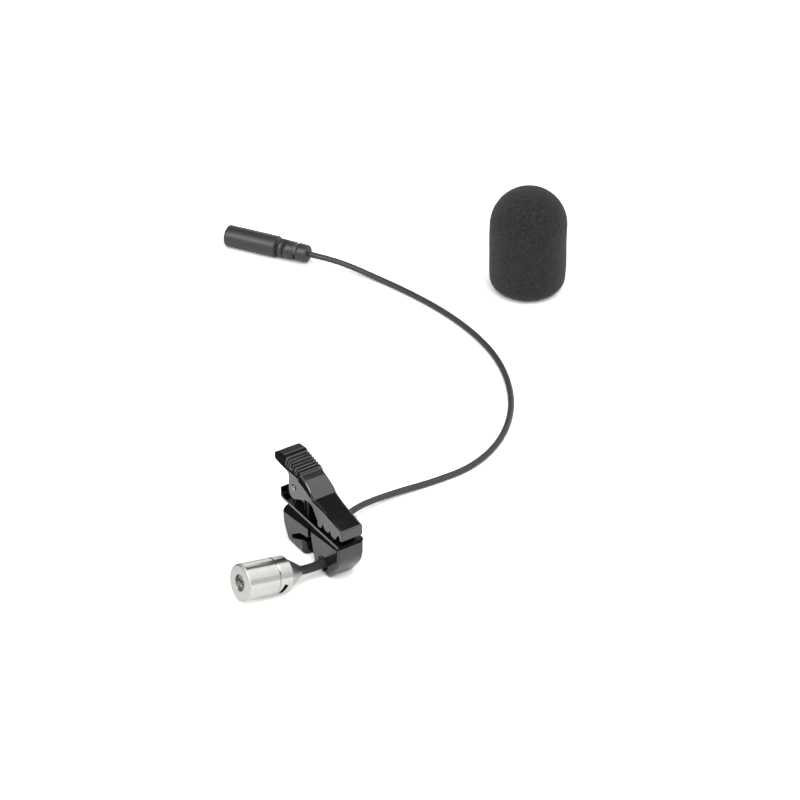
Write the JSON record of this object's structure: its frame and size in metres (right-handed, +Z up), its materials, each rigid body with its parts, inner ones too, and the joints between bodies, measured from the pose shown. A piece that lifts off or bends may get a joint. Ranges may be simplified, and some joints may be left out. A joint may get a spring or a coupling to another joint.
{
  "type": "lavalier microphone",
  "caption": "Clip-on lavalier microphone: nickel electret capsule, sprung swivel clip, thin cable ending in an inline jack, and a foam windscreen taken off beside it.",
  "frame": {"origin": "on the table, on the swivel axis of the clip, in the plane of the holder's flat underside", "axes": "+X across the clip, away from the capsule; +Y from the jaw's mouth to the thumb pad; +Z up from the table"},
  "size_m": [0.176, 0.1778, 0.036],
  "materials": {
    "satin_nickel": "satin nickel plate on turned brass",
    "grille_steel": "perforated steel, dulled",
    "black_felt": "thin felt",
    "black_rubber": "matt moulded rubber",
    "element_can": "drawn aluminium can",
    "green_board": "glass-fibre board with solder resist",
    "dark_pvc": "satin PVC jacket",
    "black_plastic": "gloss moulded ABS",
    "plated_steel": "bright plated steel",
    "black_enamel": "gloss black enamel on pressed steel",
    "moulded_pvc": "satin moulded PVC",
    "plated_nose": "nickel plate",
    "contact_bronze": "gilt phosphor bronze",
    "charcoal_foam": "open-cell polyurethane foam"
  },
  "bodies": {
    "holder": {"cable_holder": "black_plastic", "swivel_rivet": "plated_steel", "swivel_washer": "plated_steel", "strain_boot": "black_rubber", "cable_tail": "dark_pvc", "tail_cone": "satin_nickel", "rear_ring": "satin_nickel", "front_shell": "satin_nickel", "front_grille": "grille_steel", "dust_felt": "black_felt", "element_gasket": "black_rubber", "electret_element": "element_can", "element_board": "green_board", "cable": "dark_pvc", "socket_strain_relief": "moulded_pvc", "socket_barrel": "moulded_pvc", "socket_insulator": "black_plastic", "socket_nose": "plated_nose", "tip_contact": "contact_bronze", "ring_contact": "contact_bronze"},
    "clip_jaw": {"lower_jaw": "black_enamel", "pivot_pin": "plated_steel", "torsion_spring": "plated_steel"},
    "lever": {"thumb_lever": "black_enamel"},
    "windscreen": {"foam_windscreen": "charcoal_foam"}
  },
  "joints": [
    {"name": "clip_swivel", "type": "hinge", "parent": "holder", "child": "clip_jaw", "pos_m": [0, 0, 0.0129], "axis": [0, 0, 1], "continuous": true},
    {"name": "lever_pinch", "type": "hinge", "parent": "clip_jaw", "child": "lever", "pos_m": [0, 0.0078, 0.0204], "axis": [-1, 0, 0], "range_deg": [0, 20], "stiffness_Nm_per_rad": 0.08, "springref_deg": -17.19, "deforming": ["torsion_spring"]},
    {"name": "windscreen_lift", "type": "slide", "parent": "holder", "child": "windscreen", "axis": [0, 0, 1], "range_m": [0, 0.05]}
  ]
}
